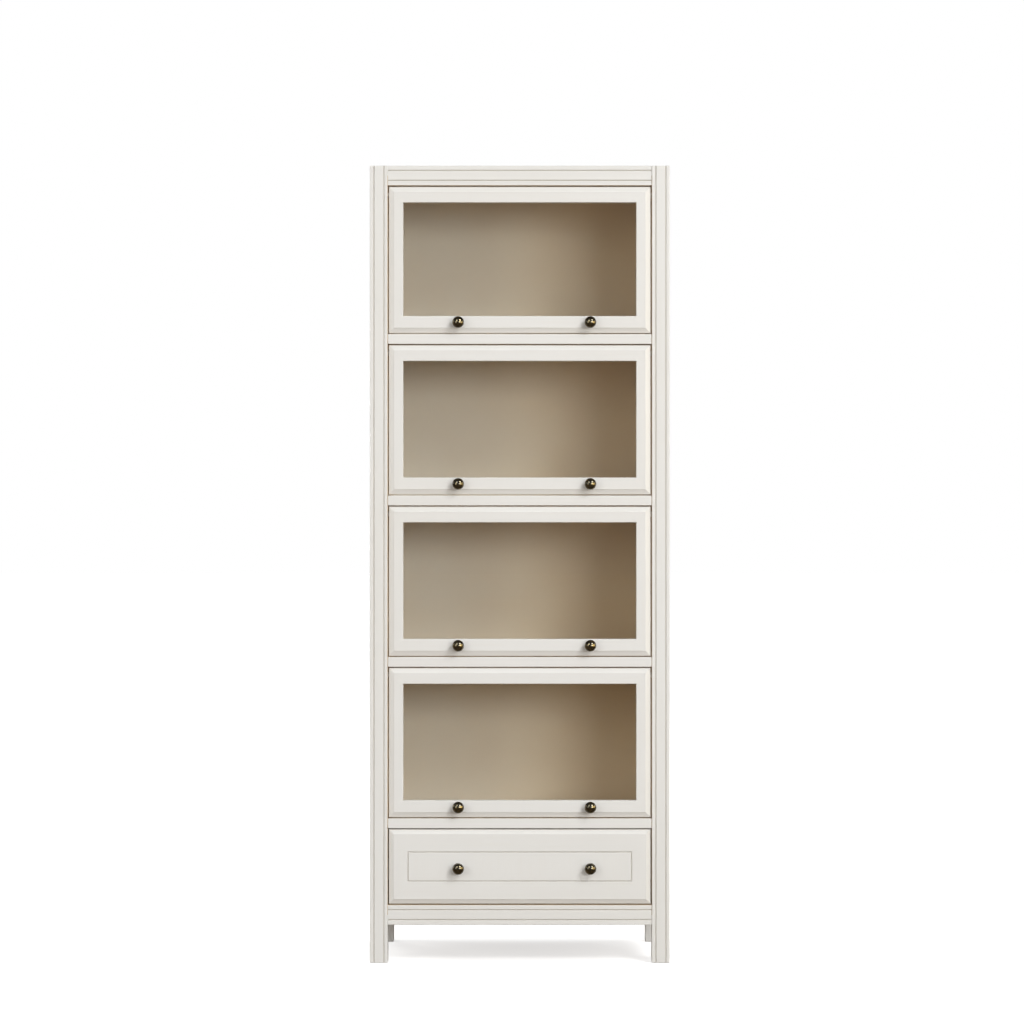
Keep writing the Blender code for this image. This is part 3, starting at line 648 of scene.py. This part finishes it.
# The painted shade: the back fades from its painted lit tone at the left to its painted brown shade at the
# right.
browner = ranged(tree, across, -PAINTED_SHADE_REACH, PAINTED_SHADE_REACH)
painted_lit_taupe = taupe_paint(tree, PAINTED_LIT_TAUPE, PAINTED_LIT_TAUPE_SHADE)
pale = colour_mix(tree, browner, painted_lit_taupe, taupe_paint(tree, PAINTED_SHADED_TAUPE, PAINTED_SHADED_TAUPE_SHADE))
back_colour = divided(tree, 1, (back_low.y + back_high.y) / 2, pale, bare)
brushed_film(tree, shader, back_colour, ACROSS, BACK_ROUGHNESS)
role = ("case", "taupe_paint", back_finish, "back_panel")
rounded_board("back_panel_painted", back_low, back_high, UPWARD, BACK_ROUNDING, *role)

ZINC = (0.84, 0.845, 0.85)
ZINC_DULL = (0.70, 0.705, 0.71)
# The near-black tone that each screw recess darkens to, towards its bottom.
RECESS_DARK = (0.06, 0.06, 0.06)
RECESS_DARK_SHARE = 0.8  # at the bottom of a recess


def zinc_finish(name, grain, roughness):
    """Zinc-plated steel: dull clouds, faint rolling marks along the grain, and dark recesses."""
    tree, shader, made = new_finish(name, Metallic=0.8)
    plated = colour_mix(tree, patches(tree, None, 90.0, 0.35, 0.7), ZINC, ZINC_DULL)
    recessed = add_node(tree, "ShaderNodeAttribute", attribute_name="hollow").outputs["Fac"]
    colour = colour_mix(tree, scaled(tree, recessed, RECESS_DARK_SHARE), plated, RECESS_DARK)
    brushed_film(tree, shader, colour, grain, roughness)
    return made


screw_finish = zinc_finish("zinc_screws", None, SCREW_ROUGHNESS)
shelf_middles = [sum(c.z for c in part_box(f"shelf_{door}")) / 2 for door in DOORS]
places = [(x, back_high.y, z) for x in BACK_SCREW_ROWS for z in shelf_middles]
screw_heads("back_panel_screws", places, 1, 1, "case", "steel", screw_finish)

# Slide channels: folded from zinc-plated steel strip, open towards the drawer. Each is held to its side
# board by three screws through the web.

SLIDE_GAUGE = 0.0012
SLIDE_BEND = 0.0022  # outside of the fold
SLIDE_TIP = 0.0004  # the rounding of a lip's corners
SLIDE_ROUGHNESS = 0.42
SLIDE_SCREWS = (0.12, 0.5, 0.88)  # along the slide's length


def folded_slide(name, node, opens, *role):
    """A folded channel along Y: its web at the side away from opens (-1 or 1 on X), and a lip at its top
    and bottom, with the same gauge all round and round folds."""
    low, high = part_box(node)
    depth, half = high.x - low.x, (high.z - low.z) / 2
    bend, gauge, tip = SLIDE_BEND, SLIDE_GAUGE, SLIDE_TIP
    outline = [(0.0, -half, bend), (depth, -half, tip), (depth, gauge - half, tip)]
    outline += [(gauge, gauge - half, bend - gauge), (gauge, half - gauge, bend - gauge)]
    outline += [(depth, half - gauge, tip), (depth, half, tip), (0.0, half, bend)]
    section = np.concatenate(filleted(outline)) * (opens, 1)
    web = low.x if opens > 0 else high.x
    points = section + (web, (low.z + high.z) / 2)
    mesh = carried(name, INWARD, [(low.y, points), (high.y, points)])
    finished(name, mesh, *role)
    along = [low.y + share * (high.y - low.y) for share in SLIDE_SCREWS]
    places = [(web + opens * gauge, y, (low.z + high.z) / 2) for y in along]
    screw_heads(f"{name}_screws", places, 0, opens, role[0], "steel", screw_finish)


slide_finish = zinc_finish("zinc_slides", INWARD, SLIDE_ROUGHNESS)
for side_name, side in SIDES:
    node = f"slide_channel_{side_name}"
    folded_slide(f"{node}_folded", node, -side, "case", "steel", slide_finish, node)

# Door carriages: a flat steel bar across the case, riveted at each end to a block that slides in its track.
# A turned pin in each block carries the door.

BLOCK_ROUNDING = 0.0006
PIN_STEPS = 32
PIN_RADIUS = 0.003
PIN_LENGTH = 0.0148
PIN_ROOT = 0.004  # inside the block
PIN_ROUNDING = 0.0006
BAR_THICKNESS = 0.005
BAR_FROM_TAIL = 0.003
BAR_INSET = 0.001  # from the top and bottom of the blocks
BAR_ROUNDING = 0.0012
RIVET_RADIUS = 0.0032
RIVET_RISE = 0.0016
RIVET_ROOT = 0.001  # inside the bar
RIVET_INSET = 0.008  # from the inside of the case
CARRIAGE_ROUGHNESS = 0.36

carriage_finish = zinc_finish("zinc_carriages", ACROSS, CARRIAGE_ROUGHNESS)
joints = {joint["name"]: joint for joint in frame["joints"]}


def quarter(start, end, bow):
    """A quarter ellipse of radii and heights, over the angles in bow. It leaves start along the radius, and
    comes to end along the height."""
    radius = start[0] + (end[0] - start[0]) * np.sin(bow)
    return np.stack([radius, end[1] + (start[1] - end[1]) * np.cos(bow)], axis=1)


def turned(name, profile, centre, axis, facing, steps, *role):
    """A profile of radii and heights turned about an axis: each row becomes a circle of its radius, its
    height out from centre the way that facing (1 or -1) gives."""
    profile = np.array(profile)
    angle = np.linspace(0.0, 2 * math.pi, steps, endpoint=False)
    first, second = [other for other in range(3) if other != axis]
    rings = np.zeros((1, len(profile), steps, 3))
    rings[0, ..., first] = profile[:, :1] * np.cos(angle)
    rings[0, ..., second] = profile[:, :1] * np.sin(angle)
    rings[0, ..., axis] = facing * profile[:, 1:2]
    hollow = None if profile.shape[1] < 3 else ("hollow", profile[None, :, 2:3])
    mesh = grid_mesh(name, rings + np.array(centre), capped=False, points=hollow)
    return finished(name, mesh, *role)


for door, (low, high) in zip(DOORS, carriages):
    node = f"door_{door}_carriage"
    body = f"carriage_{door}"
    tail = high.y - BAR_FROM_TAIL
    bar_low = (-inside_x - track_depth / 2, tail - BAR_THICKNESS, low.z + BAR_INSET)
    bar_high = (inside_x + track_depth / 2, tail, high.z - BAR_INSET)
    role = (body, "steel", carriage_finish, node)
    rounded_board(f"{node}_bar", bar_low, bar_high, ACROSS, BAR_ROUNDING, *role)
    pivot = np.array(joints[f"door_{door}_lift"]["pos_m"])
    for side_name, side in SIDES:
        xs = sorted((side * inside_x, side * high.x))
        block_low, block_high = (xs[0], low.y, low.z), (xs[1], high.y, high.z)
        role = (body, "steel", carriage_finish)
        rounded_board(f"{node}_block_{side_name}", block_low, block_high, INWARD, BLOCK_ROUNDING, *role)
        outline = [(0.0, -PIN_ROOT, 0.0), (PIN_RADIUS, -PIN_ROOT, 0.0)]
        outline += [(PIN_RADIUS, PIN_LENGTH, PIN_ROUNDING), (0.0, PIN_LENGTH, 0.0)]
        profile = np.concatenate(filleted(outline, closed=False))
        centre = (side * inside_x, pivot[1], pivot[2])
        turned(f"{node}_pin_{side_name}", profile, centre, 0, -side, PIN_STEPS, *role)
        bow = np.linspace(0.0, math.pi / 2, CORNER_STEPS)
        dome = quarter((0.0, RIVET_RISE), (RIVET_RADIUS, 0.0), bow)[::-1]
        profile = np.concatenate([[(0.0, -RIVET_ROOT), (RIVET_RADIUS, -RIVET_ROOT)], dome])
        centre = (side * (inside_x - RIVET_INSET), tail - BAR_THICKNESS, pivot[2])
        turned(f"{node}_rivet_{side_name}", profile, centre, 1, -1, PIN_STEPS, *role)

# Door frames: painted hardwood, made up as one piece with mitred brush marks. Round the face a small step
# drops to a sloping edge. The window has a small round lip, and a rebate behind it for the glass.

DOOR_EDGE_WIDTH = 0.010
EDGE_DEPTH = 0.0044
EDGE_STEP = 0.0008
REAR_ROUNDING = 0.0006
FOOT_ROUNDING = 0.0009  # where the slope meets the side
STEP_FOOT_ROUNDING = 0.0003
STEP_ROUNDING = 0.0005
LIP_ROUNDING = 0.0014
REBATE_ROUNDING = 0.0004
STILE_WIDTH = 0.029
TOP_RAIL_WIDTH = 0.032
BOTTOM_RAIL_WIDTH = 0.034
REBATE_WIDTH = 0.006
REBATE_DEPTH = 0.009
INWARD_SIGNS = np.array([(1, 1), (-1, 1), (-1, -1), (1, -1)])  # from each corner, on X and Z


def rectangle(x_low, x_high, z_low, z_high):
    """The corners of an upright rectangle, in the order of INWARD_SIGNS."""
    return np.array([(x_low, z_low), (x_high, z_low), (x_high, z_high), (x_low, z_high)])


def sloping_edge(front, rear, width):
    """The outline of the outer side and the sloping edge of a painted front, from its rear corner in to its
    face: a distance in, a place on Y, and a rounding."""
    outline = [(0.0, rear, REAR_ROUNDING), (0.0, front + EDGE_DEPTH, FOOT_ROUNDING)]
    return outline + [(width, front + EDGE_STEP, STEP_FOOT_ROUNDING), (width, front, STEP_ROUNDING)]


def mitred(name, profile, width, outer, window, closed, hollow=None):
    """A profile of distances in and places on Y, carried round two rectangles with mitred corners. Its
    outer half is set in from the outer one, and its inner half out from the window, so each side has its
    own width. The across attribute is 1 on the top and bottom, and 0 on the sides."""
    inset = profile[:, 0][:, None, None]
    from_outer = outer[None] + inset * INWARD_SIGNS[None]
    from_window = window[None] + (inset - width) * INWARD_SIGNS[None]
    flat = np.where(inset <= width / 2, from_outer, from_window)
    rings = np.empty((1, len(profile), 4, 3))
    rings[0, ..., (0, 2)] = flat.transpose(2, 0, 1)
    rings[0, ..., 1] = profile[:, 1][:, None]
    points = None if hollow is None else ("hollow", hollow[None, :, None])
    return grid_mesh(name, rings, closed=closed, points=points, faces=("across", np.array([1, 0, 1, 0])))


white_mitred = white_finish("white_paint_mitred", MITRED)
for door in DOORS:
    node = f"door_{door}_frame"
    low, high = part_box(node)
    rebate_x, rebate_y = STILE_WIDTH - REBATE_WIDTH, high.y - REBATE_DEPTH
    outline = sloping_edge(low.y, high.y, DOOR_EDGE_WIDTH)
    outline += [(STILE_WIDTH, low.y, LIP_ROUNDING), (STILE_WIDTH, rebate_y, REBATE_ROUNDING)]
    outline += [(rebate_x, rebate_y, 0.0), (rebate_x, high.y, REBATE_ROUNDING)]
    profile = np.concatenate(filleted(outline))
    outer = rectangle(low.x, high.x, low.z, high.z)
    window_z = (low.z + BOTTOM_RAIL_WIDTH, high.z - TOP_RAIL_WIDTH)
    window = rectangle(low.x + STILE_WIDTH, high.x - STILE_WIDTH, *window_z)
    mesh = mitred(node, profile, STILE_WIDTH, outer, window, closed=True)
    finished(f"{node}_painted", mesh, f"door_{door}", "white_paint", white_mitred, node)

# Panes: clear float glass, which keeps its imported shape. It bends what is seen through it, going in and
# coming out, while lamps and the sky light the shelves straight through.

GLASS_TINT = (0.965, 0.98, 0.972, 1.0)
SMEARS = 0.035  # the roughness where hands have wiped it

sockets = {"Base_Color": GLASS_TINT, "Transmission_Weight": 1.0, "IOR": 1.5, "Specular_IOR_Level": 0.2}
tree, shader, glass_finish = new_finish("clear_glass", **sockets)
tree.links.new(patches(tree, UPWARD, 14.0, 0.4, 0.8, most=SMEARS), shader.inputs["Roughness"])
clear = add_node(tree, "ShaderNodeBsdfTransparent", {"Color": GLASS_TINT})
path = add_node(tree, "ShaderNodeLightPath").outputs
going_in = {0: path["Is Camera Ray"], 1: clear.outputs[0], 2: shader.outputs[0]}
near_side = add_node(tree, "ShaderNodeMixShader", going_in)
coming_out = {0: path["Is Transmission Ray"], 1: near_side.outputs[0], 2: shader.outputs[0]}
pane = add_node(tree, "ShaderNodeMixShader", coming_out)
tree.links.new(pane.outputs[0], tree.nodes["Material Output"].inputs["Surface"])
for door in DOORS:
    frame["nodes"][f"door_{door}_glass"].material_slots[0].material = glass_finish

# Glazing beads: painted hardwood strips with a rounded inner edge, mitred at the corners. They are pinned
# in the rebate behind each pane, and hold it in.

BEAD_WIDTH = 0.0055
BEAD_ROUNDING = 0.0034
BEAD_ARRIS = 0.0003

for door in DOORS:
    node = f"door_{door}_bead"
    low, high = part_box(node)
    outline = [(0.0, low.y, BEAD_ARRIS), (0.0, high.y, BEAD_ARRIS)]
    outline += [(BEAD_WIDTH, high.y, BEAD_ROUNDING), (BEAD_WIDTH, low.y, BEAD_ARRIS)]
    profile = np.concatenate(filleted(outline))
    outer = rectangle(low.x, high.x, low.z, high.z)
    window = outer + BEAD_WIDTH * INWARD_SIGNS
    mesh = mitred(node, profile, BEAD_WIDTH, outer, window, closed=True)
    finished(f"{node}_shaped", mesh, f"door_{door}", "glazing_bead", white_mitred, node)

# Knobs: small turned brass balls with a dark antique patina, rubbed back to brass where hands touch them.
# Each sits on a thin base and is held by a screw through the door or the drawer front.

KNOB_STEPS = 64
BOW_STEPS = 14
BALL_RADIUS = 0.0117
BALL_MIDDLE = 0.0149  # in front of the face that it sits on
BALL_TIP = 0.024
NECK_RADIUS = 0.0043
NECK_HEIGHT = 0.0088
BASE_RADIUS = 0.0075
BASE_HEIGHT = 0.0019
BASE_LEDGE = 0.0006  # flat ring round the foot of the neck
BASE_FILLET = 0.0004
BASE_ROUNDING = 0.0007
SEAT = 0.0003  # off the wood, under the base and under the screw's head
KNOB_SCREW_RADIUS = 0.002
KNOB_SCREW_HEAD = 0.004
KNOB_SCREW_RISE = 0.002

PATINA = (0.052, 0.043, 0.022)
RUBBED_BRASS = (0.38, 0.30, 0.14)
BRASS_EDGE = (0.32, 0.27, 0.16, 1.0)  # what it throws back at a glance
RUBBED_SHARE = 0.45
BRASS_ROUGHNESS = 0.13


def knob_profile(through):
    """Rows of radius, height and hollow, from the tip back. The ball is two quarter ellipses, the neck
    sweeps out to the base in another, and the screw goes through to a domed head behind."""
    bow = np.linspace(0.0, math.pi / 2, BOW_STEPS)
    ledge = BASE_RADIUS - BASE_LEDGE
    front = quarter((0.0, BALL_TIP), (BALL_RADIUS, BALL_MIDDLE), bow)
    under = quarter((NECK_RADIUS, NECK_HEIGHT), (BALL_RADIUS, BALL_MIDDLE), bow)[-2::-1]
    sweep = quarter((ledge, BASE_HEIGHT + BASE_FILLET), (NECK_RADIUS, NECK_HEIGHT), bow)[-2::-1]
    rim = [(*sweep[-1], 0.0), (BASE_RADIUS, BASE_HEIGHT, BASE_ROUNDING), (BASE_RADIUS, SEAT, 0.0)]
    behind = -through - SEAT
    screw = [(KNOB_SCREW_RADIUS, SEAT), (KNOB_SCREW_RADIUS, behind), (KNOB_SCREW_HEAD, behind)]
    dome = quarter((0.0, behind - KNOB_SCREW_RISE), (KNOB_SCREW_HEAD, behind), bow)[-2::-1]
    rows = np.concatenate([front, under, sweep, *filleted(rim, closed=False)[1:], screw, dome])
    hollow = np.clip((BALL_MIDDLE - rows[:, 1]) / (BALL_MIDDLE - BASE_HEIGHT), 0.0, 1.0)
    return np.column_stack([rows, hollow])


sockets = {"Metallic": 1.0, "Specular_Tint": BRASS_EDGE, "Coat_Weight": 1.0, "Coat_Roughness": 0.05}
tree, shader, brass_finish = new_finish("antique_brass", **sockets)
shielded = add_node(tree, "ShaderNodeAttribute", attribute_name="hollow").outputs["Fac"]
rubbed = patches(tree, None, 240.0, 0.42, 0.72, most=RUBBED_SHARE)
open_to_hands = add_node(tree, "ShaderNodeMath", {0: 1.0, 1: shielded}, operation="SUBTRACT").outputs[0]
share = add_node(tree, "ShaderNodeMath", {0: rubbed, 1: open_to_hands}, operation="MULTIPLY").outputs[0]
brushed_film(tree, shader, colour_mix(tree, share, PATINA, RUBBED_BRASS), None, BRASS_ROUGHNESS)


def knob(node, body, face, through):
    """One knob on a face at that place on Y, with its screw going that far through the wood."""
    low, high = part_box(node)
    centre = ((low.x + high.x) / 2, face, (low.z + high.z) / 2)
    role = (body, "aged_brass", brass_finish, node)
    turned(f"{node}_turned", knob_profile(through), centre, 1, -1, KNOB_STEPS, *role)


for door in DOORS:
    low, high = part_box(f"door_{door}_frame")
    for side_name, _ in SIDES:
        knob(f"door_{door}_knob_{side_name}", f"door_{door}", low.y, high.y - low.y)

# Drawer box: birch plywood sides and back with clear lacquer, and a thin plywood bottom between them. The
# plies show as stripes along the upper edges.

BIRCH = (0.66, 0.52, 0.35)
BIRCH_DARK = (0.54, 0.39, 0.235)
BIRCH_CROSS_PLY = (0.40, 0.27, 0.15)
PLY = 0.0015
PLY_ROUNDING = 0.0009
BOTTOM_ROUNDING = 0.0003
PLIES_FROM_TOP = 0.0003  # how far down the rounded edge the plies show
LACQUER_ROUGHNESS = 0.38


def birch_finish(name, grain, ply_axis, top):
    """Birch plywood: drawn-out grain, and within its rounded upper edge stripes of a ply each, light and
    dark in turn, counted along ply_axis."""
    tree, shader, made = new_finish(name)
    figure = patches(tree, grain, 130.0, 0.3, 0.75, detail=5.0)
    clouds = patches(tree, grain, 24.0, 0.35, 0.7, most=0.4)
    face = colour_mix(tree, clouds, colour_mix(tree, figure, BIRCH, BIRCH_DARK), BIRCH_DARK)
    parts = add_node(tree, "ShaderNodeSeparateXYZ", {0: coordinates(tree)})
    turns = scaled(tree, parts.outputs[ply_axis], math.pi / PLY)
    wave = add_node(tree, "ShaderNodeMath", {0: turns}, operation="SINE").outputs[0]
    stripes = colour_mix(tree, ranged(tree, wave, -0.25, 0.25), BIRCH, BIRCH_CROSS_PLY)
    edge = top - PLIES_FROM_TOP
    on_edge = ranged(tree, parts.outputs[2], edge - COLOUR_EDGE / 2, edge + COLOUR_EDGE / 2)
    colour = colour_mix(tree, on_edge, face, stripes)
    brushed_film(tree, shader, colour, grain, LACQUER_ROUGHNESS)
    return made


box_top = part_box("drawer_side_left")[1].z
side_birch = birch_finish("birch_sides", INWARD, 0, box_top)
back_birch = birch_finish("birch_back", ACROSS, 1, box_top)
for side_name, _ in SIDES:
    node = f"drawer_side_{side_name}"
    role = ("drawer", "birch", side_birch, node)
    rounded_board(f"{node}_lacquered", *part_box(node), INWARD, PLY_ROUNDING, *role)
role = ("drawer", "birch", back_birch, "drawer_back")
rounded_board("drawer_back_lacquered", *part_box("drawer_back"), ACROSS, PLY_ROUNDING, *role)
role = ("drawer", "birch", back_birch, "drawer_bottom")
rounded_board("drawer_bottom_lacquered", *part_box("drawer_bottom"), ACROSS, BOTTOM_ROUNDING, *role)

# Drawer front: a painted board with the doors' sloping edge, and a thin grooved line round its face that
# makes a panel.

FRONT_EDGE_WIDTH = 0.009
PANEL_END = 0.0385  # from each end of the front to the middle of the groove
PANEL_TOP = 0.0455  # and from its top and bottom
PANEL_GROOVE_WIDTH = 0.0032
PANEL_GROOVE_DEPTH = 0.0018
BESIDE_GROOVE = 0.010  # flat face outside the groove
WITHIN_GROOVE = 0.008  # and inside it, to where one face closes the panel
REAR_MARGIN = 0.002  # flat rear round the face that closes it

low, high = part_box("drawer_front")
outline = [(REAR_MARGIN, high.y, 0.0), *sloping_edge(low.y, high.y, FRONT_EDGE_WIDTH)]
outline += [(PANEL_END - BESIDE_GROOVE, low.y, 0.0)]
rows = np.concatenate(filleted(outline, closed=False))
along = np.linspace(-0.5, 0.5, GROOVE_STEPS)
sunk = 0.5 * (1 + np.cos(2 * math.pi * along))
groove = np.stack([PANEL_END + PANEL_GROOVE_WIDTH * along, low.y + PANEL_GROOVE_DEPTH * sunk], axis=1)
profile = np.concatenate([rows, groove, [(PANEL_END + WITHIN_GROOVE, low.y)]])
# The groove's depth, which sets how much painted shade it gets.
hollow = np.concatenate([np.zeros(len(rows)), sunk, [0.0]])
outer = rectangle(low.x, high.x, low.z, high.z)
panel = rectangle(low.x + PANEL_END, high.x - PANEL_END, low.z + PANEL_TOP, high.z - PANEL_TOP)
mesh = mitred("drawer_front", profile, PANEL_END, outer, panel, closed=False, hollow=hollow)
finished("drawer_front_painted", mesh, "drawer", "white_paint", white_mitred, "drawer_front")

for side_name, _ in SIDES:
    knob(f"drawer_knob_{side_name}", "drawer", low.y, high.y - low.y)

# Drawer runners: narrower channels, folded from the same zinc-plated strip and screwed to the drawer's
# sides. They run inside the case's channels.

for side_name, side in SIDES:
    node = f"drawer_runner_{side_name}"
    folded_slide(f"{node}_folded", node, side, "drawer", "steel", slide_finish, node)
